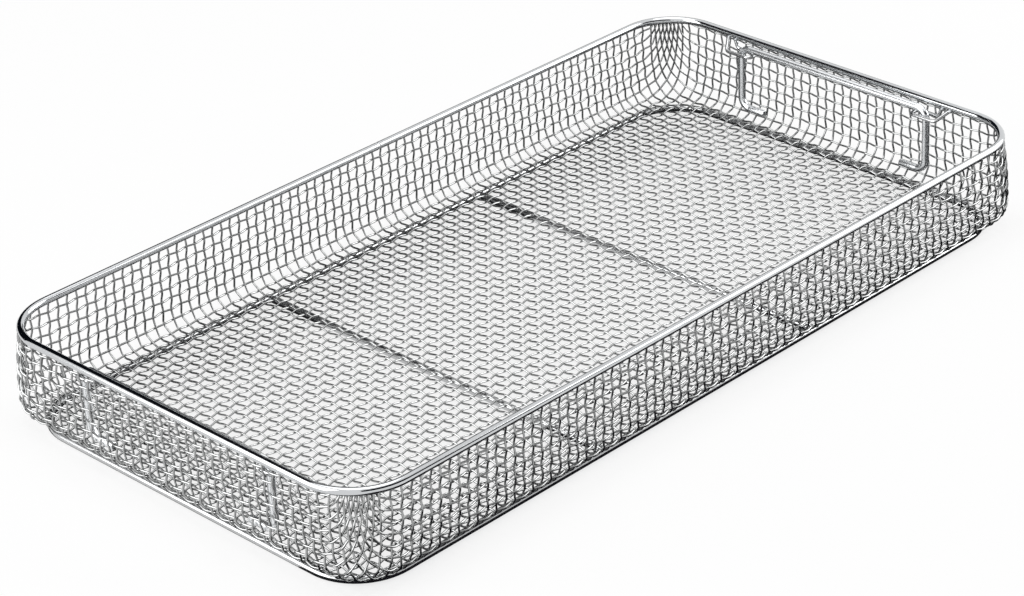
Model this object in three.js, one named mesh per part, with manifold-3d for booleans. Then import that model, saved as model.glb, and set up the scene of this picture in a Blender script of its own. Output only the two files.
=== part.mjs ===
// Sterilization wire basket: a tray pressed from woven steel wire, hung in a rod rim,
// standing on a rod ring with two cross bars, with a drop handle sliding in two eyes at each end.
// Millimetres, Z up, X along the tray. The origin is the middle of the base, on the surface it stands on.
import * as THREE from 'three';
import { mergeVertices } from 'three/addons/utils/BufferGeometryUtils.js';
import Module from 'manifold-3d';

// Overall size, over the rim rod.
const trayLength = 475;
const trayWidth = 250;
const trayHeight = 54;

// Gap kept between pieces that are welded together or rest on each other.
const clearance = 0.3;

// Rim rod, the outer radius of its corners, and where its butt seam lies along the far long side.
const rimRod = 4;
const rimCorner = 32;
const rimSeamAt = 12;

// Base ring: its rod, how far its centre line lies inside the overall outline, and its corner bend.
const baseRod = 4;
const baseInsetX = 7.5;
const baseInsetY = 10;
const baseBend = 28.5;

// Cross bars between the long sides of the base ring.
const barRod = 4;
const barSpacing = 150;

// Woven wire: its diameter and spacing, and the spacing and number of the ribs that stand for it here.
const meshWire = 1;
const meshPitch = 5.8;
const ribSpacing = 25;
const ribRows = 3;
const ribsPerCorner = 3;

// Shape of the mesh: walls set out from the rim's centre line, bend to the floor, corner at the bottom.
const meshSetOut = 0.8;
const floorBend = 9;
const meshCorner = 23;

// Drop handles: rod, distance between legs, legs inside the rim's centre line, bends and feet.
const handleRod = 4;
const handleSpan = 127;
const handleInset = 4.9;
const handleBend = 6;
const footLength = 16.5;
const footRise = 7.7;

// Eyes: a loop of wire round each leg, below the rim's centre line, with its two ends up to the rim.
const eyeWire = 2;
const eyeRunning = 0.4;
const eyeDrop = 6.8;
const eyeReach = 8;
const eyeBend = 2.8;
const eyeFrontLead = 8;
const eyeBackLead = 5.5;
const eyeClimb = 4.5;

// Play left between the feet and the eyes when a handle is pulled right up.
const handlePlay = 0.5;

// Fineness of the round shapes.
const rodSides = 12;
const wireSides = 8;
const ringBendSteps = 8;
const handleBendSteps = 6;
const eyeBendSteps = 4;
const meshBendSteps = 3;
const cornerStepsPerRib = 4;
const outlineSteps = 6;
const weldTolerance = 0.001;

// Centre line of the rim.
const rimHalfX = (trayLength - rimRod) / 2;
const rimHalfY = (trayWidth - rimRod) / 2;
const rimZ = trayHeight - rimRod / 2;
const rimBend = rimCorner - rimRod / 2;

// Centre line of the base ring.
const baseHalfX = trayLength / 2 - baseInsetX;
const baseHalfY = trayWidth / 2 - baseInsetY;

// Middle surface of the mesh: two wires thick, its floor on the base ring, its walls up to the rim.
const meshThickness = 2 * meshWire;
const wireSection = Math.PI * meshWire ** 2 / 4;
const ribWidth = wireSection * (ribSpacing / meshPitch) / meshThickness;
const wallHalfX = rimHalfX + meshSetOut;
const wallHalfY = rimHalfY + meshSetOut;
const floorZ = baseRod + clearance + meshThickness / 2;
const meshTop = rimZ - rimRod / 2 - clearance;
const bendEndZ = floorZ + floorBend;
const bendRun = floorBend * Math.PI / 2;
const wallRun = bendRun + meshTop - bendEndZ;

// Straight lengths of the sides, between the rim's corners, and the ribs along them.
const straightX = 2 * (rimHalfX - rimBend);
const straightY = 2 * (rimHalfY - rimBend);
const ribsX = Math.round(straightX / ribSpacing);
const ribsY = Math.round(straightY / ribSpacing);

// Handles and eyes: the legs hang inside the rim and the grip rests on the inner ends of the eyes.
const handleX = rimHalfX - handleInset;
const legY = handleSpan / 2;
const eyeZ = rimZ - eyeDrop;
const gripZ = eyeZ + eyeWire / 2 + clearance + handleRod / 2;
const footZ = floorZ + footRise;
const handleTravel = (eyeZ - eyeWire / 2) - (footZ + handleRod / 2) - handlePlay;

// Finishes: polished and bright-drawn stainless steel.
function polishedSteel() {
  return new THREE.MeshStandardMaterial({ color: 0xd3d6d9, roughness: 0.12, metalness: 1 });
}

function drawnSteel() {
  return new THREE.MeshStandardMaterial({ color: 0xb9bdc0, roughness: 0.28, metalness: 1 });
}

function wovenWireSteel() {
  return new THREE.MeshStandardMaterial({ color: 0xc6c9c8, roughness: 0.3, metalness: 1 });
}

// A rod's centre line: straight runs joined by round bends, with stations only where it bends.
class BentLine extends THREE.Curve {
  constructor(corners, bend, bendSteps) {
    super();
    this.stations = [];
    const last = corners.length - 1;
    const runs = corners.slice(1).map((corner, k) => corner.clone().sub(corners[k]).normalize());
    this.addStation(corners[0], runs[0]);
    for (let i = 1; i < last; i += 1) this.addBend(corners[i], runs[i - 1], runs[i], bend, bendSteps);
    this.addStation(corners[last], runs[last - 1]);
  }

  addStation(point, tangent) {
    this.stations.push({ point: point.clone(), tangent: tangent.clone() });
  }

  addBend(corner, before, after, bend, bendSteps) {
    const turn = before.angleTo(after);
    const axis = before.clone().cross(after).normalize();
    const start = corner.clone().addScaledVector(before, -bend * Math.tan(turn / 2));
    const centre = start.clone().addScaledVector(axis.clone().cross(before), bend);
    for (let k = 0; k <= bendSteps; k += 1) {
      const angle = turn * k / bendSteps;
      const point = start.clone().sub(centre).applyAxisAngle(axis, angle).add(centre);
      this.addStation(point, before.clone().applyAxisAngle(axis, angle));
    }
  }

  get steps() {
    return this.stations.length - 1;
  }

  getPoint(share, target = new THREE.Vector3()) {
    const at = share * this.steps;
    const low = Math.min(Math.floor(at), this.steps - 1);
    return target.lerpVectors(this.stations[low].point, this.stations[low + 1].point, at - low);
  }

  getPointAt(share, target) {
    return this.getPoint(share, target);
  }

  getTangentAt(share, target = new THREE.Vector3()) {
    return target.copy(this.stations[Math.round(share * this.steps)].tangent);
  }
}

// Round section as a polygon whose flats face along the axes, so that a rod rests on a flat.
function roundSection(diameter, sides) {
  const radius = diameter / 2 / Math.cos(Math.PI / sides);
  const corners = Array.from({ length: sides }, (none, k) => {
    const angle = 2 * Math.PI * (k + 1 / 2) / sides;
    return new THREE.Vector2(radius * Math.cos(angle), radius * Math.sin(angle));
  });
  return new THREE.Shape(corners);
}

// Rod along a line, with flat ends.
function openRod(line, diameter, sides) {
  const options = { steps: line.steps, extrudePath: line };
  return new THREE.ExtrudeGeometry(roundSection(diameter, sides), options);
}

// Rod whose line comes back to its start: its two end faces are left out and its ends are joined.
function closedRod(line, diameter, sides) {
  const rod = openRod(line, diameter, sides);
  const side = rod.groups.find((group) => group.materialIndex === 1);
  const all = rod.getAttribute('position');
  const kept = all.array.slice(all.itemSize * side.start, all.itemSize * (side.start + side.count));
  const tube = new THREE.BufferGeometry();
  tube.setAttribute('position', new THREE.BufferAttribute(kept, all.itemSize));
  return welded(tube);
}

// Geometry with shared corner points and fresh normals.
function welded(geometry) {
  const joined = mergeVertices(geometry, weldTolerance);
  joined.computeVertexNormals();
  return joined;
}

// Rounded rectangle of rod, closed at a butt seam on the far long side.
function rodRing(halfX, halfY, z, bend, diameter, seamX) {
  const seam = new THREE.Vector3(seamX, halfY, z);
  const corners = [
    seam,
    new THREE.Vector3(-halfX, halfY, z),
    new THREE.Vector3(-halfX, -halfY, z),
    new THREE.Vector3(halfX, -halfY, z),
    new THREE.Vector3(halfX, halfY, z),
    seam,
  ];
  return closedRod(new BentLine(corners, bend, ringBendSteps), diameter, rodSides);
}

function makeRim() {
  return rodRing(rimHalfX, rimHalfY, rimZ, rimBend, rimRod, rimSeamAt);
}

function makeBaseRing() {
  return rodRing(baseHalfX, baseHalfY, baseRod / 2, baseBend, baseRod, 0);
}

// Bar across the base, its ends against the insides of the ring's long sides.
function makeCrossBar() {
  const reach = baseHalfY - baseRod / 2 - clearance;
  const ends = [new THREE.Vector3(0, -reach, barRod / 2), new THREE.Vector3(0, reach, barRod / 2)];
  return openRod(new BentLine(ends, 0, 0), barRod, rodSides);
}

// Places spread evenly over a length, the outer ones half a space from its ends.
function spread(from, to, count) {
  return Array.from({ length: count }, (none, k) => from + (to - from) * (k + 1 / 2) / count);
}

// Strips of a lattice one way: solid ones on the ribs, open ones between, cut again where the sheet bends.
function strips(from, to, ribs, cuts) {
  const half = ribWidth / 2;
  const clearOfRibs = (at) => ribs.every((rib) => Math.abs(at - rib) > ribWidth);
  const extra = cuts.filter((at) => at > from + half && at < to - half && clearOfRibs(at));
  const edges = [from, to, ...ribs.flatMap((rib) => [rib - half, rib + half]), ...extra];
  edges.sort((a, b) => a - b);
  const solid = edges.slice(1).map((edge, k) => {
    const middle = (edge + edges[k]) / 2;
    return ribs.some((rib) => Math.abs(middle - rib) < half);
  });
  return { edges, solid };
}

// Lattice of crossing ribs as one closed body. place bends it: (along, up, out) gives a point.
function latticeSheet(along, up, place) {
  const columns = along.edges.length;
  const rows = up.edges.length;
  const points = [-meshThickness / 2, meshThickness / 2].flatMap((out) =>
    up.edges.flatMap((high) => along.edges.flatMap((far) => place(far, high, out))));
  const at = (i, j, side) => (side * rows + j) * columns + i;
  const filled = (i, j) => {
    const inside = i >= 0 && j >= 0 && i < columns - 1 && j < rows - 1;
    return inside && (along.solid[i] || up.solid[j]);
  };
  const triangles = [];
  const quad = (a, b, c, d) => triangles.push(a, b, c, a, c, d);
  const edgeWall = (i, j, m, n) => quad(at(i, j, 0), at(m, n, 0), at(m, n, 1), at(i, j, 1));
  for (let j = 0; j < rows - 1; j += 1) {
    for (let i = 0; i < columns - 1; i += 1) {
      if (!filled(i, j)) continue;
      quad(at(i, j, 1), at(i + 1, j, 1), at(i + 1, j + 1, 1), at(i, j + 1, 1));
      quad(at(i, j, 0), at(i, j + 1, 0), at(i + 1, j + 1, 0), at(i + 1, j, 0));
      if (!filled(i, j - 1)) edgeWall(i, j, i + 1, j);
      if (!filled(i + 1, j)) edgeWall(i + 1, j, i + 1, j + 1);
      if (!filled(i, j + 1)) edgeWall(i + 1, j + 1, i, j + 1);
      if (!filled(i - 1, j)) edgeWall(i, j + 1, i, j);
    }
  }
  const sheet = new THREE.BufferGeometry();
  sheet.setAttribute('position', new THREE.Float32BufferAttribute(points, 3));
  sheet.setIndex(triangles);
  return welded(sheet.toNonIndexed());
}

// Section of the wall: inset from its upright part, height and slope, by the run from the floor's edge.
function wallSection(run) {
  const turn = Math.min(run / floorBend, Math.PI / 2);
  return {
    inset: floorBend * (1 - Math.sin(turn)),
    z: floorZ + floorBend * (1 - Math.cos(turn)) + Math.max(0, run - bendRun),
    outward: Math.sin(turn),
    downward: Math.cos(turn),
  };
}

const bendCuts = Array.from({ length: meshBendSteps }, (none, k) => bendRun * (k + 1) / meshBendSteps);
const wallStrips = strips(clearance / 2, wallRun, spread(0, wallRun, ribRows), bendCuts);

// Straight wall of mesh with its bend to the floor, along X at a distance out in Y.
function makeWall(length, ribCount, distance) {
  const half = length / 2;
  const along = strips(clearance / 2 - half, half - clearance / 2, spread(-half, half, ribCount), []);
  return latticeSheet(along, wallStrips, (x, run, out) => {
    const wall = wallSection(run);
    return [-x, distance - wall.inset + out * wall.outward, wall.z - out * wall.downward];
  });
}

// Corner of the mesh, about the centre of the rim's corner: tight at the floor, opening out to the rim.
function makeCorner() {
  const topRadius = rimBend + meshSetOut;
  const length = topRadius * Math.PI / 2;
  const cutCount = ribsPerCorner * cornerStepsPerRib;
  const cuts = Array.from({ length: cutCount }, (none, k) => length * k / cutCount);
  const along = strips(clearance / 2, length - clearance / 2, spread(0, length, ribsPerCorner), cuts);
  return latticeSheet(along, wallStrips, (far, run, out) => {
    const wall = wallSection(run);
    const risen = Math.max(0, wall.z - bendEndZ) / (meshTop - bendEndZ);
    const radius = meshCorner + (topRadius - meshCorner) * risen ** 2;
    const straight = topRadius - radius;
    const arc = (radius - wall.inset) * Math.PI / 2;
    const travelled = far / length * (2 * straight + arc);
    const turned = Math.min(Math.max(travelled - straight, 0) / arc, 1) * Math.PI / 2;
    const first = Math.min(travelled, straight);
    const second = straight - Math.max(travelled - straight - arc, 0);
    const reach = radius - wall.inset + out * wall.outward;
    const x = second + reach * Math.cos(turned);
    const y = first + reach * Math.sin(turned);
    return [x, y, wall.z - out * wall.downward];
  });
}

// Rounded rectangle about the origin.
function roundedOutline(halfX, halfY, radius) {
  const quarter = Math.PI / 2;
  const outline = new THREE.Path();
  outline.absarc(halfX - radius, halfY - radius, radius, 0, quarter);
  outline.absarc(radius - halfX, halfY - radius, radius, quarter, 2 * quarter);
  outline.absarc(radius - halfX, radius - halfY, radius, 2 * quarter, 3 * quarter);
  outline.absarc(halfX - radius, radius - halfY, radius, 3 * quarter, 4 * quarter);
  return new THREE.Shape(outline.getPoints(outlineSteps));
}

const wasm = await Module();
wasm.setup();

// Closed solid of a geometry, for cutting.
function solidOf(geometry) {
  const bare = geometry.clone().deleteAttribute('normal').deleteAttribute('uv');
  const joined = mergeVertices(bare, weldTolerance);
  return new wasm.Manifold(new wasm.Mesh({
    numProp: 3,
    vertProperties: new Float32Array(joined.getAttribute('position').array),
    triVerts: new Uint32Array(joined.index.array),
  }));
}

// The part of one closed geometry that lies inside another.
function commonPart(first, second) {
  const mesh = solidOf(first).intersect(solidOf(second)).getMesh();
  const geometry = new THREE.BufferGeometry();
  geometry.setAttribute('position', new THREE.BufferAttribute(mesh.vertProperties, mesh.numProp));
  geometry.setIndex(new THREE.BufferAttribute(mesh.triVerts, 1));
  geometry.computeVertexNormals();
  return geometry;
}

// Ribs at the spacing of a wall's ribs, carried on as far as they stay inside a reach.
function ribsWithin(length, ribCount, reach) {
  const spacing = length / ribCount;
  const start = (1 - ribCount) / 2 * spacing;
  const spare = Math.floor((reach - ribWidth + start) / spacing);
  return Array.from({ length: ribCount + 2 * spare }, (none, k) => start + (k - spare) * spacing);
}

// Flat floor of the mesh: wires both ways, cut off where the walls begin to bend up.
function makeFloor() {
  const halfX = wallHalfX - floorBend - clearance / 2;
  const halfY = wallHalfY - floorBend - clearance / 2;
  const along = strips(-wallHalfX, wallHalfX, ribsWithin(straightX, ribsX, halfX), []);
  const across = strips(-wallHalfY, wallHalfY, ribsWithin(straightY, ribsY, halfY), []);
  const sheet = latticeSheet(along, across, (x, y, out) => [x, y, floorZ + out]);
  const outline = roundedOutline(halfX, halfY, meshCorner - floorBend);
  const block = new THREE.ExtrudeGeometry(outline, { depth: 2 * meshThickness, bevelEnabled: false });
  block.translate(0, 0, floorZ - meshThickness);
  return commonPart(sheet, block);
}

// Drop handle: a grip, two upright legs and two feet turned in along the end wall.
function makeHandle() {
  const toe = legY - footLength;
  const corners = [
    new THREE.Vector3(0, -toe, footZ),
    new THREE.Vector3(0, -legY, footZ),
    new THREE.Vector3(0, -legY, gripZ),
    new THREE.Vector3(0, legY, gripZ),
    new THREE.Vector3(0, legY, footZ),
    new THREE.Vector3(0, toe, footZ),
  ];
  return openRod(new BentLine(corners, handleBend, handleBendSteps), handleRod, rodSides);
}

// Eye about a leg, for the +X end: level strands before and behind the leg, both ends bent up to the rim.
// side is 1 for the leg at +Y and -1 for the leg at -Y, so that both eyes close towards the middle.
function makeEye(side) {
  const across = handleRod / 2 + eyeRunning + eyeWire / 2;
  const inner = -side * eyeReach;
  const top = rimZ - rimRod / 2 - clearance - eyeZ;
  const corners = [
    new THREE.Vector3(across, side * (eyeFrontLead + eyeClimb), top),
    new THREE.Vector3(-across, side * eyeFrontLead, 0),
    new THREE.Vector3(-across, inner, 0),
    new THREE.Vector3(across, inner, 0),
    new THREE.Vector3(across, side * eyeBackLead, 0),
    new THREE.Vector3(across, side * (eyeBackLead + eyeWire), top),
  ];
  return openRod(new BentLine(corners, eyeBend, eyeBendSteps), eyeWire, wireSides);
}

// Named piece at its place.
function piece(name, geometry, material, place = [0, 0, 0], turn = 0) {
  const mesh = new THREE.Mesh(geometry, material);
  mesh.name = name;
  mesh.position.set(...place);
  mesh.rotation.z = turn;
  return mesh;
}

// Frame: rim, base ring and cross bars.
function makeFrame() {
  const frame = new THREE.Group();
  frame.add(piece('rim', makeRim(), polishedSteel()));
  frame.add(piece('base_ring', makeBaseRing(), drawnSteel()));
  frame.add(piece('cross_bar_left', makeCrossBar(), drawnSteel(), [-barSpacing / 2, 0, 0]));
  frame.add(piece('cross_bar_right', makeCrossBar(), drawnSteel(), [barSpacing / 2, 0, 0]));
  return frame;
}

// Mesh tray: floor, four walls and four corners.
function makeMesh() {
  const tray = new THREE.Group();
  const quarter = Math.PI / 2;
  tray.add(piece('mesh_floor', makeFloor(), wovenWireSteel()));
  const longWall = makeWall(straightX, ribsX, wallHalfY);
  const endWall = makeWall(straightY, ribsY, wallHalfX);
  tray.add(piece('mesh_wall_back', longWall, wovenWireSteel()));
  tray.add(piece('mesh_wall_left', endWall, wovenWireSteel(), [0, 0, 0], quarter));
  tray.add(piece('mesh_wall_front', longWall, wovenWireSteel(), [0, 0, 0], 2 * quarter));
  tray.add(piece('mesh_wall_right', endWall, wovenWireSteel(), [0, 0, 0], -quarter));
  const corner = makeCorner();
  const x = rimHalfX - rimBend;
  const y = rimHalfY - rimBend;
  tray.add(piece('mesh_corner_back_right', corner, wovenWireSteel(), [x, y, 0]));
  tray.add(piece('mesh_corner_back_left', corner, wovenWireSteel(), [-x, y, 0], quarter));
  tray.add(piece('mesh_corner_front_left', corner, wovenWireSteel(), [-x, -y, 0], 2 * quarter));
  tray.add(piece('mesh_corner_front_right', corner, wovenWireSteel(), [x, -y, 0], -quarter));
  return tray;
}

// One end's handle in its two eyes, made for the +X end and turned half round for the other.
function makeEnd(name, turn) {
  const end = new THREE.Group();
  end.rotation.z = turn;
  end.add(piece(`handle_${name}`, makeHandle(), polishedSteel(), [handleX, 0, 0]));
  const order = name === 'right' ? ['front', 'back'] : ['back', 'front'];
  end.add(piece(`eye_${name}_${order[0]}`, makeEye(-1), drawnSteel(), [handleX, -legY, eyeZ]));
  end.add(piece(`eye_${name}_${order[1]}`, makeEye(1), drawnSteel(), [handleX, legY, eyeZ]));
  return end;
}

const basket = new THREE.Group();
basket.add(makeFrame(), makeMesh(), makeEnd('right', 0), makeEnd('left', Math.PI));
console.log(`Handle travel ${handleTravel.toFixed(2)} mm`);

export default basket;
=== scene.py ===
import math

import bpy
import numpy as np
from bpy.props import FloatProperty, FloatVectorProperty, IntProperty, PointerProperty
from mathutils import Matrix, Vector


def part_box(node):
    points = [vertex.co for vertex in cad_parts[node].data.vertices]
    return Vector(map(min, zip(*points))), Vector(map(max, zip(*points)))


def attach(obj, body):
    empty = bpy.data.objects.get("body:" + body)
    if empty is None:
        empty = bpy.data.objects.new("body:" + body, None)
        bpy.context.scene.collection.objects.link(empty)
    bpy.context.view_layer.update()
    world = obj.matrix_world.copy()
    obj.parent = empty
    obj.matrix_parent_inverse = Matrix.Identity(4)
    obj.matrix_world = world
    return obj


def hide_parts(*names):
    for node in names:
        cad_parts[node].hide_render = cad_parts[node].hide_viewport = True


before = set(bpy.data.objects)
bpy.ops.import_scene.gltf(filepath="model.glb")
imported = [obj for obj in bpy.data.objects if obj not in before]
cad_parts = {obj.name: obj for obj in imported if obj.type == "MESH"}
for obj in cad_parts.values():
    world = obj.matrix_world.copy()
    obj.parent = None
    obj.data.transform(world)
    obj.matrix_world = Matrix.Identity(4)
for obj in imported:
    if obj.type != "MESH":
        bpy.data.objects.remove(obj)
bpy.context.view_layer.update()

bl_info = {
    "name": "Sterilization Wire Basket",
    "version": (1, 0, 0),
    "blender": (4, 5, 0),
    "location": "3D View > Sidebar > Basket",
    "description": "Builds a woven wire tray with a rod rim, a rod base and two sliding drop handles",
    "category": "Add Mesh",
}

MM = 0.001

# Places taken from the frame, in metres.
RIM_LOW, RIM_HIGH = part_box("rim")
BASE_LOW, BASE_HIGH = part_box("base_ring")
GRIP_LOW, GRIP_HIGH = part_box("handle_right")
EYE_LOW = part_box("eye_right_back")[0]
MESH_LOW, MESH_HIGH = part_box("mesh_floor")
RIM_ROD = RIM_HIGH.z - RIM_LOW.z
BASE_ROD = BASE_HIGH.z - BASE_LOW.z
HANDLE_ROD = GRIP_HIGH.x - GRIP_LOW.x
LEG_X = (GRIP_LOW.x + GRIP_HIGH.x) / 2
LEG_Y = GRIP_HIGH.y - HANDLE_ROD / 2
MESH_NODES = sorted(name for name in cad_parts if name.startswith("mesh_"))

# How pieces are finished: points closer than this are merged, edges flatter than these angles are shaded
# smooth, and the rounding of a rod's cut end has this many steps.
MERGE_WITHIN = 0.01 * MM
ROD_SMOOTHING = math.radians(50)
WIRE_SMOOTHING = math.radians(60)
END_STEPS = 3

# The ground butt seam of the rim, and the places of the cuts that make its groove, in halves of its width.
SEAM_HALF_WIDTH = 0.5 * MM
SEAM_DEPTH = 0.15 * MM
SEAM_CUTS = (-2, -1, 1, 2)

# The weld beads: half their size on each axis, how finely they are divided, how rough they are, and how much
# and how many times that is smoothed.
EYE_BEAD = (1.2 * MM, 1.9 * MM, 1 * MM)
BAR_BEAD = (1.3 * MM, 1.2 * MM, 1.3 * MM)
BEAD_FINENESS = 3
BEAD_ROUGHNESS = 0.15 * MM
BEAD_SEED = 5
BEAD_SMOOTHING = 0.5
BEAD_SMOOTH_ROUNDS = 2

# How steel varies: its clouds' width in grains, how finely both are broken up, the clouds' tones, and the
# spread of its roughness.
CLOUD_GRAINS = 30
GRAIN_DETAIL = 3.0
CLOUD_DETAIL = 2.0
CLOUD_TONES = (0.9, 1.06)
GLOSS_SPREAD = (0.7, 1.3)


def linear(hex_colour):
    """Linear colour of an sRGB hex value."""
    shares = [(hex_colour >> shift & 255) / 255 for shift in (16, 8, 0)]
    return tuple(s / 12.92 if s <= 0.04045 else ((s + 0.055) / 1.055) ** 2.4 for s in shares)


class RodSettings(bpy.types.PropertyGroup):
    """Sizes of the bent rods"""

    rim_corner: FloatProperty(
        name="Rim corner", description="Bend of the rim rod's centre line",
        default=30 * MM, unit="LENGTH")
    seam_at: FloatProperty(
        name="Seam at", description="Place of the rim's butt seam along its back side",
        default=12 * MM, unit="LENGTH")
    base_corner: FloatProperty(
        name="Base corner", description="Bend of the base ring's centre line",
        default=28.5 * MM, unit="LENGTH")
    handle_bend: FloatProperty(
        name="Handle bend", description="Bend of a handle rod's centre line",
        default=6 * MM, unit="LENGTH")
    foot_length: FloatProperty(
        name="Foot length", description="From a leg's centre line to the tip of its foot",
        default=16.5 * MM, unit="LENGTH")
    end_round: FloatProperty(
        name="End rounding", description="Tumbled edge at a rod's cut ends",
        default=0.4 * MM, unit="LENGTH")
    sides: IntProperty(
        name="Sides", description="Faces round a rod", default=32, min=8)
    bend_steps: IntProperty(
        name="Bend steps", description="Faces along a bend", default=16, min=4)


class EyeSettings(bpy.types.PropertyGroup):
    """Sizes of the eyes that the handles slide in"""

    wire: FloatProperty(
        name="Wire", description="Diameter of the eyes' wire", default=2 * MM, unit="LENGTH")
    running: FloatProperty(
        name="Running gap", description="Gap between a leg and its eye",
        default=0.4 * MM, unit="LENGTH")
    reach: FloatProperty(
        name="Reach", description="From a leg's centre line to the eye's inner end",
        default=8 * MM, unit="LENGTH")
    front_lead: FloatProperty(
        name="Front lead", description="From a leg to where the strand on the tray's side climbs",
        default=8 * MM, unit="LENGTH")
    back_lead: FloatProperty(
        name="Back lead", description="From a leg to where the strand beside the wall climbs",
        default=5.5 * MM, unit="LENGTH")
    climb: FloatProperty(
        name="Climb", description="Run along the rim of the tray's side strand as it climbs",
        default=4.5 * MM, unit="LENGTH")
    bend: FloatProperty(
        name="Bend", description="Bend of the eye wire's centre line",
        default=2.8 * MM, unit="LENGTH")


class WeaveSettings(bpy.types.PropertyGroup):
    """Sizes of the woven wire and of the form it is pressed to"""

    wire: FloatProperty(
        name="Wire", description="Diameter of the woven wire", default=1 * MM, unit="LENGTH")
    pitch: FloatProperty(
        name="Pitch", description="Spacing of the wires", default=5.8 * MM, unit="LENGTH")
    set_out: FloatProperty(
        name="Set out", description="Walls outside the rim rod's centre line",
        default=0.8 * MM, unit="LENGTH")
    floor_bend: FloatProperty(
        name="Floor bend", description="Bend between the floor and the walls",
        default=9 * MM, unit="LENGTH")
    corner: FloatProperty(
        name="Corner", description="Corner radius of the walls at the floor's bend",
        default=23 * MM, unit="LENGTH")
    drawn_gap: FloatProperty(
        name="Drawn gap", description="Least spacing of the wires where a corner draws them together",
        default=2 * MM, unit="LENGTH")
    sides: IntProperty(
        name="Sides", description="Faces round a wire", default=8, min=5)


class FinishSettings(bpy.types.PropertyGroup):
    """Colours of the steel and of the floor"""

    polished: FloatVectorProperty(
        name="Polished rod", description="Reflected colour of the polished rods",
        subtype="COLOR", default=linear(0xCDCFD1))
    satin: FloatVectorProperty(
        name="Satin rod", description="Reflected colour of the handles' rods",
        subtype="COLOR", default=linear(0xEEF0F2))
    drawn: FloatVectorProperty(
        name="Drawn rod", description="Reflected colour of the drawn rods",
        subtype="COLOR", default=linear(0xC0C1C2))
    woven: FloatVectorProperty(
        name="Woven wire", description="Reflected colour of the woven wire",
        subtype="COLOR", default=linear(0xAAABAB))
    weld: FloatVectorProperty(
        name="Weld bead", description="Reflected colour of the weld beads",
        subtype="COLOR", default=linear(0xA6A8AA))
    floor: FloatVectorProperty(
        name="Floor", description="Colour of the studio floor",
        subtype="COLOR", default=linear(0xF4F4F4))


def node(tree, kind, links=(), **settings):
    """Adds a node. settings go to its attributes or sockets, and links join outputs to its inputs."""
    made = tree.nodes.new(kind)
    for name, value in settings.items():
        if hasattr(made, name):
            setattr(made, name, value)
        else:
            made.inputs[name.replace("_", " ")].default_value = value
    for name, output in links:
        tree.links.new(output, made.inputs[name])
    return made


def steel(name, colour, roughness, grain_mm, relief_mm):
    """Stainless steel: a grey mirror, softened by the fine marks of drawing and polishing.

    The real marks are a few hundredths of a millimetre wide, too fine to show, so they are drawn grain_mm
    wide and relief_mm high.
    """
    found = bpy.data.materials.get(name)
    if found:
        return found
    material = bpy.data.materials.new(name)
    material.use_nodes = True
    tree = material.node_tree
    tree.nodes.clear()
    place = node(tree, "ShaderNodeTexCoord").outputs["Object"]
    grains = 1 / (grain_mm * MM)
    clouds = 1 / (grain_mm * CLOUD_GRAINS * MM)
    grain = node(tree, "ShaderNodeTexNoise", [("Vector", place)], Scale=grains, Detail=GRAIN_DETAIL)
    cloud = node(tree, "ShaderNodeTexNoise", [("Vector", place)], Scale=clouds, Detail=CLOUD_DETAIL)
    tone = node(tree, "ShaderNodeMapRange", [("Value", cloud.outputs["Fac"])],
                To_Min=CLOUD_TONES[0], To_Max=CLOUD_TONES[1])
    tint = node(tree, "ShaderNodeVectorMath", [(1, tone.outputs["Result"])], operation="MULTIPLY")
    tint.inputs[0].default_value = colour
    gloss = node(tree, "ShaderNodeMapRange", [("Value", grain.outputs["Fac"])],
                 To_Min=roughness * GLOSS_SPREAD[0], To_Max=roughness * GLOSS_SPREAD[1])
    bump = node(tree, "ShaderNodeBump", [("Height", grain.outputs["Fac"])], Distance=relief_mm * MM)
    shader = node(tree, "ShaderNodeBsdfPrincipled", [
        ("Base Color", tint.outputs["Vector"]),
        ("Roughness", gloss.outputs["Result"]),
        ("Normal", bump.outputs["Normal"]),
    ], Metallic=1.0)
    node(tree, "ShaderNodeOutputMaterial", [("Surface", shader.outputs["BSDF"])])
    return material


def polished_steel():
    """Mechanically polished stainless rod: almost a mirror, with only faint haze."""
    finish = bpy.context.scene.basket_finish
    return steel("polished_stainless_rod", finish.polished,
                 roughness=0.09, grain_mm=0.6, relief_mm=0.002)


def satin_steel():
    """Satin polished stainless rod of the handles: bright, with reflections spread to soft bands."""
    finish = bpy.context.scene.basket_finish
    return steel("satin_polished_stainless_rod", finish.satin,
                 roughness=0.24, grain_mm=0.5, relief_mm=0.003)


def drawn_steel():
    """Bright drawn stainless rod: a little softer than the polished rim."""
    finish = bpy.context.scene.basket_finish
    return steel("bright_drawn_stainless_rod", finish.drawn,
                 roughness=0.2, grain_mm=0.5, relief_mm=0.004)


def woven_steel():
    """Electropolished woven stainless wire: bright, with soft highlights on each crimp."""
    finish = bpy.context.scene.basket_finish
    return steel("electropolished_woven_wire", finish.woven,
                 roughness=0.14, grain_mm=0.4, relief_mm=0.002)


def weld_steel():
    """Pickled weld bead on stainless rod: matt and a little greyer than the rods round it."""
    finish = bpy.context.scene.basket_finish
    return steel("pickled_weld_bead", finish.weld,
                 roughness=0.32, grain_mm=0.3, relief_mm=0.01)


def finished(piece, body, slot, material, *nodes):
    """Gives a piece its material and its body, and hides the CAD nodes that it stands for. Its slot is not
    used.
    """
    piece.data.materials.clear()
    piece.data.materials.append(material)
    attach(piece, body)
    if nodes:
        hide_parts(*nodes)


def pull(offset):
    """Extrudes the selected ring of edges by an offset."""
    bpy.ops.mesh.extrude_region_move(TRANSFORM_OT_translate={"value": offset})


def turn(before, after, at, bend, steps):
    """Spins the selected ring of edges round the inside of a bend."""
    axis = before.cross(after).normalized()
    centre = at + axis.cross(before) * bend
    bpy.ops.mesh.spin(steps=steps, angle=-before.angle(after), center=centre, axis=axis)


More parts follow.
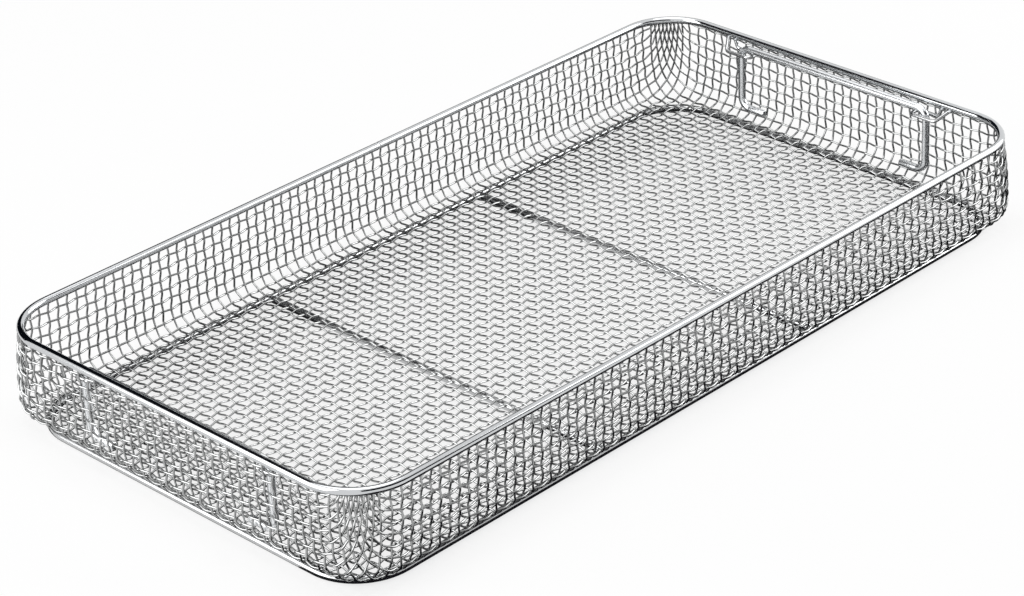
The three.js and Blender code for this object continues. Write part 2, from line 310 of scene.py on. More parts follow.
def bend_rod(name, corners, diameter, bend, closed=False):
    """Bends a round rod along straight runs. A closed rod ends where it starts."""
    rods = bpy.context.scene.basket_rods
    runs = [(b - a).normalized() for a, b in zip(corners, corners[1:])]
    bpy.ops.object.select_all(action="DESELECT")
    bpy.ops.mesh.primitive_circle_add(
        vertices=rods.sides, radius=diameter / 2, location=corners[0],
        rotation=runs[0].to_track_quat("Z", "Y").to_euler())
    rod = bpy.context.object
    rod.name = rod.data.name = name
    bpy.ops.object.mode_set(mode="EDIT")
    bpy.ops.mesh.select_mode(type="VERT")
    bpy.ops.mesh.select_all(action="SELECT")
    at = corners[0]
    for k, run in enumerate(runs):
        last = k == len(runs) - 1
        setback = 0 if last else bend * math.tan(run.angle(runs[k + 1]) / 2)
        end = corners[k + 1] - run * setback
        pull(end - at)
        if not last:
            turn(run, runs[k + 1], end, bend, rods.bend_steps)
            end = corners[k + 1] + runs[k + 1] * setback
        at = end
    bpy.ops.mesh.select_all(action="SELECT")
    bpy.ops.mesh.remove_doubles(threshold=MERGE_WITHIN)
    if not closed:
        bpy.ops.mesh.select_all(action="DESELECT")
        bpy.ops.mesh.select_mode(type="EDGE")
        bpy.ops.mesh.select_non_manifold()
        bpy.ops.mesh.fill_holes(sides=0)
    bpy.ops.mesh.select_all(action="SELECT")
    bpy.ops.mesh.normals_make_consistent(inside=False)
    bpy.ops.object.mode_set(mode="OBJECT")
    bpy.ops.object.transform_apply(location=True, rotation=True, scale=True)
    if not closed:
        round_ends(rod, rods.end_round)
    bpy.ops.object.shade_smooth_by_angle(angle=ROD_SMOOTHING)
    return rod


def clear_selection(mesh):
    """Deselects all of a mesh, in object mode."""
    for part in (*mesh.polygons, *mesh.edges, *mesh.vertices):
        part.select = False


def round_ends(rod, radius):
    """Rounds the edges of a rod's two cut ends, which are its only faces with more than four corners."""
    clear_selection(rod.data)
    for face in rod.data.polygons:
        face.select = len(face.vertices) > 4
    bpy.ops.object.mode_set(mode="EDIT")
    bpy.ops.mesh.select_mode(type="FACE")
    bpy.ops.mesh.bevel(offset=radius, segments=END_STEPS, affect="EDGES")
    bpy.ops.object.mode_set(mode="OBJECT")


def ring_corners(half_x, half_y, z, seam_x):
    """Corners of a rod ring that starts and ends at a seam on its back side."""
    seam = Vector((seam_x, half_y, z))
    return [
        seam,
        Vector((-half_x, half_y, z)),
        Vector((-half_x, -half_y, z)),
        Vector((half_x, -half_y, z)),
        Vector((half_x, half_y, z)),
        seam,
    ]


def groove_seam(rim, x, y, z, half_width, depth):
    """Sinks a ground groove round a closed rod, at its butt seam."""
    bpy.ops.object.mode_set(mode="EDIT")
    bpy.ops.mesh.select_mode(type="FACE")
    bpy.ops.object.mode_set(mode="OBJECT")
    for place in SEAM_CUTS:
        cut = x + place * half_width
        for face in rim.data.polygons:
            spots = [rim.data.vertices[k].co for k in face.vertices]
            across = min(s.x for s in spots) < cut < max(s.x for s in spots)
            face.select = across and spots[0].y > 0
        bpy.ops.object.mode_set(mode="EDIT")
        bpy.ops.mesh.bisect(plane_co=(cut, y, z), plane_no=(1, 0, 0))
        bpy.ops.object.mode_set(mode="OBJECT")
    clear_selection(rim.data)
    for point in rim.data.vertices:
        point.select = abs(point.co.x - x) < half_width / 2 and point.co.y > 0
    bpy.ops.object.mode_set(mode="EDIT")
    bpy.ops.mesh.select_mode(type="VERT")
    share = 1 - depth / (RIM_ROD / 2)
    bpy.ops.transform.resize(value=(1, share, share), center_override=(x, y, z))
    bpy.ops.object.mode_set(mode="OBJECT")
    bpy.ops.object.shade_smooth_by_angle(angle=ROD_SMOOTHING)


class BASKET_OT_rim(bpy.types.Operator):
    """Bends the rim rod"""

    bl_idname = "basket.rim"
    bl_label = "Rim"

    def execute(self, context):
        rods = context.scene.basket_rods
        half_x = RIM_HIGH.x - RIM_ROD / 2
        half_y = RIM_HIGH.y - RIM_ROD / 2
        level = RIM_HIGH.z - RIM_ROD / 2
        corners = ring_corners(half_x, half_y, level, rods.seam_at)
        rim = bend_rod("rim_rod", corners, RIM_ROD, rods.rim_corner, closed=True)
        groove_seam(rim, rods.seam_at, half_y, level, SEAM_HALF_WIDTH, SEAM_DEPTH)
        finished(rim, "tray", "polished_rod", polished_steel(), "rim")
        return {"FINISHED"}


class BASKET_OT_base(bpy.types.Operator):
    """Bends the base ring and lays the cross bars in it"""

    bl_idname = "basket.base"
    bl_label = "Base"

    def execute(self, context):
        rods = context.scene.basket_rods
        half_x = BASE_HIGH.x - BASE_ROD / 2
        half_y = BASE_HIGH.y - BASE_ROD / 2
        corners = ring_corners(half_x, half_y, BASE_ROD / 2, 0)
        ring = bend_rod("base_rod", corners, BASE_ROD, rods.base_corner, closed=True)
        finished(ring, "tray", "drawn_rod", drawn_steel(), "base_ring")
        for name in ("cross_bar_left", "cross_bar_right"):
            low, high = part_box(name)
            middle = (low + high) / 2
            ends = [Vector((middle.x, low.y, middle.z)), Vector((middle.x, high.y, middle.z))]
            bar = bend_rod(name + "_rod", ends, high.z - low.z, 0)
            finished(bar, "tray", "drawn_rod", drawn_steel(), name)
        return {"FINISHED"}


class BASKET_OT_handles(bpy.types.Operator):
    """Bends the two drop handles"""

    bl_idname = "basket.handles"
    bl_label = "Handles"

    def execute(self, context):
        rods = context.scene.basket_rods
        for name in ("handle_left", "handle_right"):
            low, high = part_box(name)
            x = (low.x + high.x) / 2
            leg = high.y - HANDLE_ROD / 2
            grip = high.z - HANDLE_ROD / 2
            foot = low.z + HANDLE_ROD / 2
            toe = leg - rods.foot_length
            corners = [Vector((x, y, z)) for y, z in (
                (-toe, foot), (-leg, foot), (-leg, grip), (leg, grip), (leg, foot), (toe, foot))]
            handle = bend_rod(name + "_rod", corners, HANDLE_ROD, rods.handle_bend)
            finished(handle, name, "polished_rod", satin_steel(), name)
        return {"FINISHED"}


def strand_offset(eyes):
    """From a leg's centre line to that of the eye's strand beside it."""
    return HANDLE_ROD / 2 + eyes.running + eyes.wire / 2


class BASKET_OT_eyes(bpy.types.Operator):
    """Bends the four eyes under the rim"""

    bl_idname = "basket.eyes"
    bl_label = "Eyes"

    def execute(self, context):
        eyes = context.scene.basket_eyes
        across = strand_offset(eyes)
        level = EYE_LOW.z + eyes.wire / 2
        top = RIM_LOW.z
        for end, end_name in ((1, "right"), (-1, "left")):
            for side, side_name in ((1, "back"), (-1, "front")):
                corners = [Vector((end * (LEG_X + x), side * (LEG_Y + y), z)) for x, y, z in (
                    (across, eyes.front_lead + eyes.climb, top),
                    (-across, eyes.front_lead, level),
                    (-across, -eyes.reach, level),
                    (across, -eyes.reach, level),
                    (across, eyes.back_lead, level),
                    (across, eyes.back_lead + eyes.wire, top))]
                name = f"eye_{end_name}_{side_name}"
                eye = bend_rod(name + "_wire", corners, eyes.wire, eyes.bend)
                finished(eye, "tray", "drawn_rod", drawn_steel(), name)
        return {"FINISHED"}


class BASKET_OT_welds(bpy.types.Operator):
    """Lays the weld beads that hold the eyes to the rim and the cross bars to the base ring"""

    bl_idname = "basket.welds"
    bl_label = "Weld beads"

    def execute(self, context):
        eyes = context.scene.basket_eyes
        strand_x = LEG_X + strand_offset(eyes)
        beads = []
        for lead in (eyes.front_lead + eyes.climb, eyes.back_lead + eyes.wire):
            y = LEG_Y + lead
            beads += [((i * strand_x, j * y, RIM_LOW.z), EYE_BEAD) for i in (-1, 1) for j in (-1, 1)]
        for name in ("cross_bar_left", "cross_bar_right"):
            low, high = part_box(name)
            level = (low.z + high.z) / 2
            beads += [((x, y, level), BAR_BEAD) for x in (low.x, high.x) for y in (low.y, high.y)]
        bpy.ops.object.select_all(action="DESELECT")
        made = []
        for place, sizes in beads:
            bpy.ops.mesh.primitive_ico_sphere_add(
                subdivisions=BEAD_FINENESS, radius=1, location=place, scale=sizes)
            made.append(bpy.context.object)
        for bead in made:
            bead.select_set(True)
        bpy.ops.object.join()
        bpy.ops.object.transform_apply(location=True, rotation=True, scale=True)
        bpy.ops.object.mode_set(mode="EDIT")
        bpy.ops.mesh.select_all(action="SELECT")
        bpy.ops.transform.vertex_random(offset=BEAD_ROUGHNESS, normal=1, seed=BEAD_SEED)
        bpy.ops.mesh.vertices_smooth(factor=BEAD_SMOOTHING, repeat=BEAD_SMOOTH_ROUNDS)
        bpy.ops.mesh.normals_make_consistent(inside=False)
        bpy.ops.object.mode_set(mode="OBJECT")
        bpy.ops.object.shade_smooth()
        piece = bpy.context.object
        piece.name = piece.data.name = "weld_beads"
        finished(piece, "tray", "drawn_rod", weld_steel())
        return {"FINISHED"}


# The share of the rim rod's height at which the wires end inside it.
WIRE_END_SHARE = 0.3

# How finely the sheet is laid: the step of a slope, the rounds that bring a point onto the form, the samples
# of a section's bend and rise, the meshes that the rise goes on beyond the form's top, and the sweep that
# looks for a crossing, in radians, with its steps and the rounds that narrow it.
SLOPE_STEP = 0.01 * MM
SETTLE_ROUNDS = 3
BEND_SAMPLES = 2000
RISE_SAMPLES = 6000
RISE_BEYOND = 3
SWEEP = 1.4
SWEEP_STEPS = 57
NARROW_STEPS = 9
NARROW_ROUNDS = 4

# The least that a crossing lies ahead of its neighbours, as a share of the pitch, where a corner is tight.
LEAST_AHEAD_SHARE = 1 / 4

# The places along each mesh where a wire's centre line is worked out, and the fewest that make a wire.
CRIMP_SHARES = (0.0, 0.25, 0.75)
FEWEST_PLACES = 4


class Form:
    """The surface that the woven sheet is pressed to: a floor, a bend, and walls with drawn corners."""

    def __init__(self, weave, rods):
        self.bend = weave.floor_bend
        self.corner = weave.corner
        self.half_x = RIM_HIGH.x - RIM_ROD / 2 + weave.set_out
        self.half_y = RIM_HIGH.y - RIM_ROD / 2 + weave.set_out
        self.top_corner = rods.rim_corner + weave.set_out
        self.floor = (MESH_LOW.z + MESH_HIGH.z) / 2
        self.bend_end = self.floor + self.bend
        self.top = RIM_LOW.z

    def outside(self, x, y, inset, radius):
        """Distance outside a rounded oblong, which is the walls' plan drawn in by an inset."""
        dx = np.abs(x) - (self.half_x - inset - radius)
        dy = np.abs(y) - (self.half_y - inset - radius)
        beyond = np.hypot(np.maximum(dx, 0), np.maximum(dy, 0))
        return beyond + np.minimum(np.maximum(dx, dy), 0) - radius

    def distance(self, points):
        """Signed distance of points from the form, which is zero on it."""
        x, y, z = points[..., 0], points[..., 1], points[..., 2]
        risen = np.clip((z - self.bend_end) / (self.top - self.bend_end), 0, 1)
        radius = self.corner + (self.top_corner - self.corner) * risen ** 2
        wall = self.outside(x, y, 0, radius)
        out = self.outside(x, y, self.bend, self.corner - self.bend)
        down = self.bend_end - z
        low = np.where(out > 0, np.hypot(out, down), down) - self.bend
        return np.where(z >= self.bend_end, wall, low)

    def normals(self, points):
        """Outward normals of the form."""
        slope = np.stack([
            self.distance(points + SLOPE_STEP * axis) - self.distance(points - SLOPE_STEP * axis)
            for axis in np.eye(3)], -1)
        return slope / np.linalg.norm(slope, axis=-1, keepdims=True)

    def settle(self, points):
        """Moves points that lie near the form onto it."""
        for _ in range(SETTLE_ROUNDS):
            points = points - self.distance(points)[..., None] * self.normals(points)
        return points


def profile_steps(form, half, pitch, start):
    """Places up one wall's section at equal chords, from the sheet's middle: distance out and height."""
    edge = half - form.bend
    angles = np.linspace(0, math.pi / 2, BEND_SAMPLES)
    rise = np.linspace(form.bend_end, form.top + RISE_BEYOND * pitch, RISE_SAMPLES)
    line_out = np.concatenate([edge + form.bend * np.sin(angles), np.full(len(rise), half)])
    line_height = np.concatenate([form.bend_end - form.bend * np.cos(angles), rise])
    places = []
    out, height = start, form.floor
    while height < form.top + pitch:
        places.append((out, height))
        if out + pitch <= edge:
            out += pitch
            continue
        far = np.hypot(line_out - out, line_height - height) >= pitch
        ahead = (line_height > height) | ((line_out > out) & (height <= form.floor))
        k = int(np.argmax(far & ahead))
        out, height = line_out[k], line_height[k]
    return places


def next_crossing(form, back, left, right, pitch):
    """The crossing that lies one pitch from each of two neighbours, on the form."""
    middle = (left + right) / 2
    across = right - left
    reach = math.sqrt(max(pitch ** 2 - across.dot(across) / 4, (pitch * LEAST_AHEAD_SHARE) ** 2))
    across = across / np.linalg.norm(across)
    ahead = middle - back
    ahead = ahead - across * ahead.dot(across)
    ahead = ahead / np.linalg.norm(ahead)
    lift = np.cross(across, ahead)
    angles = np.linspace(-SWEEP, SWEEP, SWEEP_STEPS)
    for _ in range(NARROW_ROUNDS):
        arc = middle + reach * (np.cos(angles)[:, None] * ahead + np.sin(angles)[:, None] * lift)
        gap = form.distance(arc)
        change = np.nonzero(np.sign(gap[:-1]) != np.sign(gap[1:]))[0]
        if not len(change):
            best = int(np.argmin(np.abs(gap)))
            return arc[best]
        k = change[np.argmin(np.abs(angles[change]))]
        angles = np.linspace(angles[k], angles[k + 1], NARROW_STEPS)
    return arc[len(arc) // 2]


def drape(form, pitch):
    """Crossings of the woven sheet on a quarter of the form, laid like a net that can't stretch."""
    along = profile_steps(form, form.half_x, pitch, pitch / 2)
    across = profile_steps(form, form.half_y, pitch, pitch / 2)
    crossings = np.zeros((len(along), len(across), 3))
    for i, (x, z) in enumerate(along):
        crossings[i, 0] = (x, pitch / 2, z)
    for j, (y, z) in enumerate(across):
        crossings[0, j] = (pitch / 2, y, z)
    for i in range(1, len(along)):
        for j in range(1, len(across)):
            back, left, right = crossings[i - 1, j - 1], crossings[i - 1, j], crossings[i, j - 1]
            crossings[i, j] = next_crossing(form, back, left, right, pitch)
    return crossings


# How the net is eased into a drawn corner: the rounds, the share of its unevenness that each takes out, and
# the level part of the form's normal beyond which its wires are kept apart.
EASE_ROUNDS = 300
EASE_SMOOTHING = 0.03
EASE_STEEP = 0.5


def ease_corner(form, net, pitch, least, top):
    """Keeps wires that a corner draws together at a least spacing, up to a height, and evens out the net.

    Each round brings the meshes' sides back to the pitch, first every other one and then the rest, pushes
    apart the crossings that lie closer round the corner than the least, smooths the net, holds its first row
    and column half a pitch from the sheet's middle, and settles it on the form.
    """
    for _ in range(EASE_ROUNDS):
        for view in (net, net.swapaxes(0, 1)):
            for first in (0, 1):
                a, b = view[first:-1:2], view[first + 1::2]
                gap = b - a
                move = gap * (pitch / np.linalg.norm(gap, axis=-1, keepdims=True) - 1) / 2
                b += move
                a -= move
        for first in (0, 1):
            a, b = net[first:-1:2, 1:], net[first + 1::2, :-1]
            out = form.normals((a + b) / 2)
            flat = np.hypot(out[..., 0], out[..., 1])
            around = np.stack([out[..., 1], -out[..., 0], 0 * flat], -1)
            around /= np.maximum(flat, EASE_STEEP)[..., None]
            lack = np.maximum(least - ((b - a) * around).sum(-1), 0)
            lack = lack * (flat > EASE_STEEP) * ((a + b)[..., 2] / 2 < top)
            move = around * lack[..., None] / 2
            b += move
            a -= move
        for view in (net, net.swapaxes(0, 1)):
            view[1:-1] += EASE_SMOOTHING * ((view[2:] + view[:-2]) / 2 - view[1:-1])
        net[0, :, 0] = pitch / 2
        net[:, 0, 1] = pitch / 2
        net = form.settle(net)
    return net


def wire_path(form, nodes, parity, amplitude, top):
    """Centre line of one crimped wire over its crossings, with the form's normals, cut at the rim."""
    count = len(nodes)
    before = nodes[np.maximum(np.arange(count) - 1, 0)]
    after = nodes[np.minimum(np.arange(count) + 1, count - 1)]
    slope = (after - before) / 2
    path, normals = [], []
    a, b = nodes[:-1], nodes[1:]
    for share in CRIMP_SHARES:
        s, u = share, 1 - share
        point = (u * u * (1 + 2 * s) * a + s * s * (3 - 2 * s) * b
                 + s * u * u * slope[:-1] - s * s * u * slope[1:])
        point = form.settle(point)
        out = form.normals(point)
        wave = amplitude * math.cos(math.pi * share) * (1 - 2 * (parity[:-1] % 2))
        path.append(point + wave[:, None] * out)
        normals.append(out)
    path = np.stack(path, 1).reshape(-1, 3)
    normals = np.stack(normals, 1).reshape(-1, 3)
    return cut_at_top(path, normals, top)


def cut_at_top(path, normals, top):
    """Keeps the stretch of a wire below the rim, ended at the rim's height."""
    below = np.nonzero(path[:, 2] < top)[0]
    if len(below) < FEWEST_PLACES:
        return None
    first, last = below[0], below[-1]
    points, outs = path[first:last + 1], normals[first:last + 1]
    if first > 0:
        share = (top - path[first, 2]) / (path[first - 1, 2] - path[first, 2])
        end = path[first] + share * (path[first - 1] - path[first])
        points, outs = np.vstack([end, points]), np.vstack([normals[first], outs])
    if last < len(path) - 1:
        share = (top - path[last, 2]) / (path[last + 1, 2] - path[last, 2])
        end = path[last] + share * (path[last + 1] - path[last])
        points, outs = np.vstack([points, end]), np.vstack([outs, normals[last]])
    return points, outs


def wires_mesh(name, wires, diameter, sides):
    """One mesh of round wires, each closed at both ends."""
    angles = (2 * math.pi * np.arange(sides) / sides)[None, :, None]
    vertices, faces, start = [], [], 0
    for points, outs in wires:
        tangent = np.gradient(points, axis=0)
        tangent /= np.linalg.norm(tangent, axis=1, keepdims=True)
        side = np.cross(tangent, outs)
        side /= np.linalg.norm(side, axis=1, keepdims=True)
        out = np.cross(side, tangent)
        ring = np.cos(angles) * out[:, None] + np.sin(angles) * side[:, None]
        vertices.append((points[:, None] + diameter / 2 * ring).reshape(-1, 3))
        rings = len(points)
        k, s = np.meshgrid(np.arange(rings - 1), np.arange(sides), indexing="ij")
        a = start + k * sides + s
        b = start + k * sides + (s + 1) % sides
        faces.extend(np.stack([a, b, b + sides, a + sides], -1).reshape(-1, 4).tolist())
        faces.append(list(range(start + sides - 1, start - 1, -1)))
        faces.append(list(range(start + (rings - 1) * sides, start + rings * sides)))
        start += rings * sides
    mesh = bpy.data.meshes.new(name)
    mesh.from_pydata(np.vstack(vertices).tolist(), [], faces)
    mesh.update()
    piece = bpy.data.objects.new(name, mesh)
    bpy.context.scene.collection.objects.link(piece)
    bpy.ops.object.select_all(action="DESELECT")
    piece.select_set(True)
    bpy.context.view_layer.objects.active = piece
    bpy.ops.object.mode_set(mode="EDIT")
    bpy.ops.mesh.select_all(action="SELECT")
    bpy.ops.mesh.normals_make_consistent(inside=False)
    bpy.ops.object.mode_set(mode="OBJECT")
    bpy.ops.object.shade_smooth_by_angle(angle=WIRE_SMOOTHING)
    return piece


def whole_sheet(quarter):
    """The crossings of the whole sheet, mirrored from those of its right back quarter."""
    right = np.concatenate([quarter[:, ::-1] * [1, -1, 1], quarter], 1)
    return np.concatenate([right[::-1] * [-1, 1, 1], right], 0)


class BASKET_OT_weave(bpy.types.Operator):
    """Weaves the wire sheet and presses it to the tray's form"""

    bl_idname = "basket.weave"
    bl_label = "Woven mesh"

    def execute(self, context):
        weave = context.scene.basket_weave
        form = Form(weave, context.scene.basket_rods)
        quarter = drape(form, weave.pitch)
        quarter = ease_corner(form, quarter, weave.pitch, weave.drawn_gap, RIM_HIGH.z + weave.pitch)
        sheet = whole_sheet(quarter)
        count_x, count_y = sheet.shape[:2]
        parity = np.add.outer(np.arange(count_x), np.arange(count_y))
        amplitude = weave.wire / 2
        top = RIM_LOW.z + RIM_ROD * WIRE_END_SHARE
        lengthwise = [
            wire_path(form, sheet[:, j], parity[:, j], amplitude, top) for j in range(count_y)]
        crosswise = [
            wire_path(form, sheet[i], parity[i] + 1, amplitude, top) for i in range(count_x)]
        lengthwise = [wire for wire in lengthwise if wire]
        crosswise = [wire for wire in crosswise if wire]
        groups = {
            "weave_lengthwise_front": lengthwise[:len(lengthwise) // 2],
            "weave_lengthwise_back": lengthwise[len(lengthwise) // 2:],
            "weave_crosswise_left": crosswise[:len(crosswise) // 2],
            "weave_crosswise_right": crosswise[len(crosswise) // 2:],
        }
        for name, wires in groups.items():
            piece = wires_mesh(name, wires, weave.wire, weave.sides)
            finished(piece, "tray", "woven_wire", woven_steel(), *MESH_NODES)
        return {"FINISHED"}


# The photograph's camera, from the tray's rim and base edges in its 1024 x 596 frame. Its sensor is measured
# in millimetres, and how far it sees in metres.
PHOTO_WIDTH = 1024
PHOTO_HEIGHT = 596
CAMERA_AZIMUTH = math.radians(-45.42)
CAMERA_ELEVATION = math.radians(27.36)
CAMERA_ROLL = math.radians(-2.25)
CAMERA_DISTANCE = 1598.8 * MM
CAMERA_RIGHT = 9.53 * MM
CAMERA_UP = 40.91 * MM
FOCAL_PIXELS = 3215.9
CENTRE_PIXEL = (556.3, 234.4)
SENSOR_WIDTH = 36
VIEW_RANGE = 20

# The floor's size in metres, how far it and its cards lie below the tray's base, and the light of the
# studio's walls.
FLOOR_SIZE = 12
FLOOR_DROP = 0.05 * MM
CARD_DROP = 0.02 * MM
ROOM_LIGHT = 0.2

# Softboxes: each one's place and its size, in metres, and its power, in watts.
LAMPS = {
    "left_softbox": ((-1.4, 0.5, 0.7), 1.4, 24),
    "right_softbox": ((1.36, -0.63, 0.7), 1.2, 19),
    "top_softbox": ((0.1, 0.2, 2.0), 1.5, 12),
}

# Upright cards, in metres, for the dark room that the photographed steel reflects: each one's place on Y,
# its lowest X and Z, its highest X and Z, and its colour.
CARDS = {
    "near_card": (0.4, (-0.4, 0.05), (0.09, 0.75), 0x0C0F14),
    "far_card": (1.2, (-0.1, 0.02), (1.0, 1.3), 0x14181F),
    "grey_card": (1.25, (1.0, 0.02), (2.2, 0.7), 0x7A7A78),
    "front_card": (-0.9, (-0.9, 0.3), (0.6, 1.2), 0x14181F),
}

# Cards that lie on the floor as a frame along the base ring, in metres: each one's lowest X and Y, its
# highest X and Y, and its colour. Their dark colours are painted shade: the floor next to the tray, as dark
# as the tray's shadow makes it, which only reflections show.
RING_X, RING_Y = BASE_HIGH.x, BASE_HIGH.y
INNER_Y = RING_Y - 0.04
FLOOR_CARDS = {
    "front_floor_shade_card": ((-RING_X - 0.02, -RING_Y - 0.08), (RING_X + 0.1, -INNER_Y), 0x1C1D20),
    "back_floor_shade_card": ((-RING_X, INNER_Y), (RING_X + 0.1, RING_Y + 0.1), 0x2C2D2E),
    "left_floor_shade_card": ((-RING_X, -INNER_Y), (0.04 - RING_X, INNER_Y), 0x2C2D2E),
    "right_floor_shade_card": ((RING_X - 0.02, -INNER_Y), (RING_X + 0.1, INNER_Y), 0x2C2D2E),
}

# The share of plain white in what the floor shows, under the tray and around it, and the stretches beyond
# the base ring over which one passes into the other and the second into plain white.
GLOW_UNDER = 0.75
GLOW_AROUND = 0.92
GLOW_REACH = (-10 * MM, 30 * MM)
WHITE_REACH = (300 * MM, 1000 * MM)


def make_camera():
    """Camera at the photograph's place, with its framing as a small shift."""
    azimuth, elevation, roll = CAMERA_AZIMUTH, CAMERA_ELEVATION, CAMERA_ROLL
    level = Vector((math.cos(azimuth), math.sin(azimuth), 0))
    back = Vector((
        math.sin(azimuth) * math.cos(elevation),
        -math.cos(azimuth) * math.cos(elevation),
        math.sin(elevation)))
    above = back.cross(level)
    right = level * math.cos(roll) + above * math.sin(roll)
    up = above * math.cos(roll) - level * math.sin(roll)
    data = bpy.data.cameras.new("photo_camera")
    data.sensor_fit = "HORIZONTAL"
    data.sensor_width = SENSOR_WIDTH
    data.lens = FOCAL_PIXELS / PHOTO_WIDTH * SENSOR_WIDTH
    data.shift_x = (PHOTO_WIDTH / 2 - CENTRE_PIXEL[0]) / PHOTO_WIDTH
    data.shift_y = (CENTRE_PIXEL[1] - PHOTO_HEIGHT / 2) / PHOTO_WIDTH
    data.clip_end = VIEW_RANGE
    camera = bpy.data.objects.new("photo_camera", data)
    bpy.context.scene.collection.objects.link(camera)
    turned = Matrix((right, up, back)).transposed()
    camera.matrix_world = Matrix.Translation(
        back * CAMERA_DISTANCE + right * CAMERA_RIGHT + up * CAMERA_UP) @ turned.to_4x4()
    bpy.context.scene.camera = camera


def floor_material():
    """Matt white studio floor: most of its shade shows under the tray, less around it and none far away."""
    material = bpy.data.materials.new("matt_studio_floor")
    material.use_nodes = True
    tree = material.node_tree
    tree.nodes.clear()
    colour = (*bpy.context.scene.basket_finish.floor, 1)
    matt = node(tree, "ShaderNodeBsdfDiffuse", Color=colour)
    glow = node(tree, "ShaderNodeEmission", Strength=1.0)
    path = node(tree, "ShaderNodeLightPath")
    place = node(tree, "ShaderNodeTexCoord").outputs["Object"]
    split = node(tree, "ShaderNodeSeparateXYZ", [("Vector", place)])
    beyond = []
    for axis, half in (("X", BASE_HIGH.x), ("Y", BASE_HIGH.y)):
        far = node(tree, "ShaderNodeMath", [(0, split.outputs[axis])], operation="ABSOLUTE")
        past = node(tree, "ShaderNodeMath", [(0, far.outputs["Value"])], operation="SUBTRACT")
        past.inputs[1].default_value = half
        beyond.append(past.outputs["Value"])
    outside = node(tree, "ShaderNodeMath", [(0, beyond[0]), (1, beyond[1])], operation="MAXIMUM")
    shares = []
    for (near, far), low, high in ((GLOW_REACH, GLOW_UNDER, GLOW_AROUND), (WHITE_REACH, 0, 1)):
        ramp = node(tree, "ShaderNodeMapRange", [("Value", outside.outputs["Value"])],
                    interpolation_type="SMOOTHSTEP", From_Min=near, From_Max=far, To_Min=low, To_Max=high)
        shares.append(ramp.outputs["Result"])
    share = node(tree, "ShaderNodeMath", [(0, shares[0]), (1, shares[1])], operation="MAXIMUM")
    seen = node(tree, "ShaderNodeMath", [
        (0, path.outputs["Is Camera Ray"]), (1, path.outputs["Is Glossy Ray"])], operation="MAXIMUM")
    shown = node(tree, "ShaderNodeMath", [
        (0, seen.outputs["Value"]), (1, share.outputs["Value"])], operation="MULTIPLY")
    mix = node(tree, "ShaderNodeMixShader", [
        ("Fac", shown.outputs["Value"]), (1, matt.outputs["BSDF"]), (2, glow.outputs["Emission"])])
    node(tree, "ShaderNodeOutputMaterial", [("Surface", mix.outputs["Shader"])])
    return material


def make_floor():
    """Wide floor under the tray."""
    bpy.ops.object.select_all(action="DESELECT")
    bpy.ops.mesh.primitive_plane_add(size=FLOOR_SIZE, location=(0, 0, -FLOOR_DROP))
    floor = bpy.context.object
    floor.name = "studio_floor"
    floor.data.materials.append(floor_material())


def add_card(name, middle, size, tilt, colour):
    """Adds a card in one plain colour that only reflections show."""
    bpy.ops.object.select_all(action="DESELECT")
    bpy.ops.mesh.primitive_plane_add(size=1, location=middle, rotation=(tilt, 0, 0))
    card = bpy.context.object
    card.name = name
    card.scale = (*size, 1)
    material = bpy.data.materials.new("painted_" + name)
    material.use_nodes = True
    tree = material.node_tree
    tree.nodes.clear()
    paint = node(tree, "ShaderNodeEmission", Color=(*linear(colour), 1), Strength=1.0)
    node(tree, "ShaderNodeOutputMaterial", [("Surface", paint.outputs["Emission"])])
    card.data.materials.append(material)
    card.visible_camera = False
    card.visible_shadow = False
    card.visible_diffuse = False


def make_cards():
    """Dark cards that only reflections show.

    The upright ones draw the dark lines on the rods and the wires, and those on the floor darken their
    undersides with painted shade: the floor next to the tray, dark as in the tray's shadow, seen only in
    reflections.
    """
    for name, (place, (left, bottom), (right, top), colour) in CARDS.items():
        middle = ((left + right) / 2, place, (bottom + top) / 2)
        add_card(name, middle, (right - left, top - bottom), math.radians(90), colour)
    # Painted shade of the floor along the base ring, which only reflections show.
    for name, ((left, front), (right, back), colour) in FLOOR_CARDS.items():
        middle = ((left + right) / 2, (front + back) / 2, -CARD_DROP)
        add_card(name, middle, (right - left, back - front), 0, colour)


def make_world():
    """White behind the tray and in its reflections, and a plain white studio around it."""
    world = bpy.data.worlds.new("studio")
    bpy.context.scene.world = world
    world.use_nodes = True
    tree = world.node_tree
    tree.nodes.clear()
    room = node(tree, "ShaderNodeBackground", Color=(1, 1, 1, 1), Strength=ROOM_LIGHT)
    white = node(tree, "ShaderNodeBackground", Color=(1, 1, 1, 1), Strength=1.0)
    path = node(tree, "ShaderNodeLightPath")
    seen = node(tree, "ShaderNodeMath", [
        (0, path.outputs["Is Camera Ray"]), (1, path.outputs["Is Glossy Ray"])], operation="MAXIMUM")
    mix = node(tree, "ShaderNodeMixShader", [
        ("Fac", seen.outputs["Value"]),
        (1, room.outputs["Background"]),
        (2, white.outputs["Background"])])
    node(tree, "ShaderNodeOutputWorld", [("Surface", mix.outputs["Shader"])])


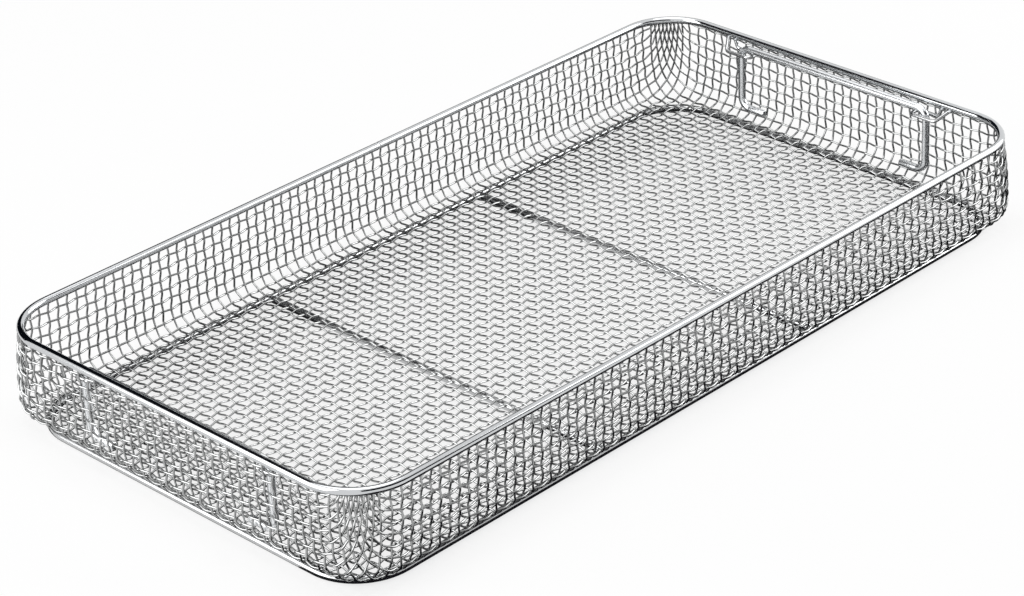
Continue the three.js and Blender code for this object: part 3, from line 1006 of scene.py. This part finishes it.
def add_lamp(name, place, size, power):
    """Soft square lamp that looks at the tray's middle."""
    data = bpy.data.lights.new(name, "AREA")
    data.energy = power
    data.size = size
    lamp = bpy.data.objects.new(name, data)
    bpy.context.scene.collection.objects.link(lamp)
    lamp.location = place
    lamp.rotation_euler = (-Vector(place)).to_track_quat("-Z", "Y").to_euler()


class BASKET_OT_stage(bpy.types.Operator):
    """Sets the camera, the floor and the studio light"""

    bl_idname = "basket.stage"
    bl_label = "Stage"

    def execute(self, context):
        make_camera()
        make_floor()
        make_cards()
        make_world()
        for name, (place, size, power) in LAMPS.items():
            add_lamp(name, place, size, power)
        context.scene.view_settings.view_transform = "Standard"
        return {"FINISHED"}


class BASKET_PT_panel(bpy.types.Panel):
    """Lists the pieces of the basket"""

    bl_idname = "BASKET_PT_panel"
    bl_label = "Sterilization Wire Basket"
    bl_space_type = "VIEW_3D"
    bl_region_type = "UI"
    bl_category = "Basket"

    def draw(self, context):
        for operator in OPERATORS:
            self.layout.operator(operator.bl_idname)
        for name, _ in SETTINGS:
            group = getattr(context.scene, name)
            for prop in group.__annotations__:
                self.layout.prop(group, prop)


SETTINGS = (
    ("basket_rods", RodSettings),
    ("basket_eyes", EyeSettings),
    ("basket_weave", WeaveSettings),
    ("basket_finish", FinishSettings),
)
OPERATORS = (
    BASKET_OT_stage,
    BASKET_OT_rim,
    BASKET_OT_base,
    BASKET_OT_handles,
    BASKET_OT_eyes,
    BASKET_OT_welds,
    BASKET_OT_weave,
)


def register():
    for name, group in SETTINGS:
        bpy.utils.register_class(group)
        setattr(bpy.types.Scene, name, PointerProperty(type=group))
    for part in (*OPERATORS, BASKET_PT_panel):
        bpy.utils.register_class(part)


def unregister():
    for part in reversed((*OPERATORS, BASKET_PT_panel)):
        bpy.utils.unregister_class(part)
    for name, group in reversed(SETTINGS):
        delattr(bpy.types.Scene, name)
        bpy.utils.unregister_class(group)


def main():
    register()
    bpy.ops.basket.stage()
    bpy.ops.basket.rim()
    bpy.ops.basket.base()
    bpy.ops.basket.handles()
    bpy.ops.basket.eyes()
    bpy.ops.basket.welds()
    bpy.ops.basket.weave()


if __name__ == "__main__":
    main()
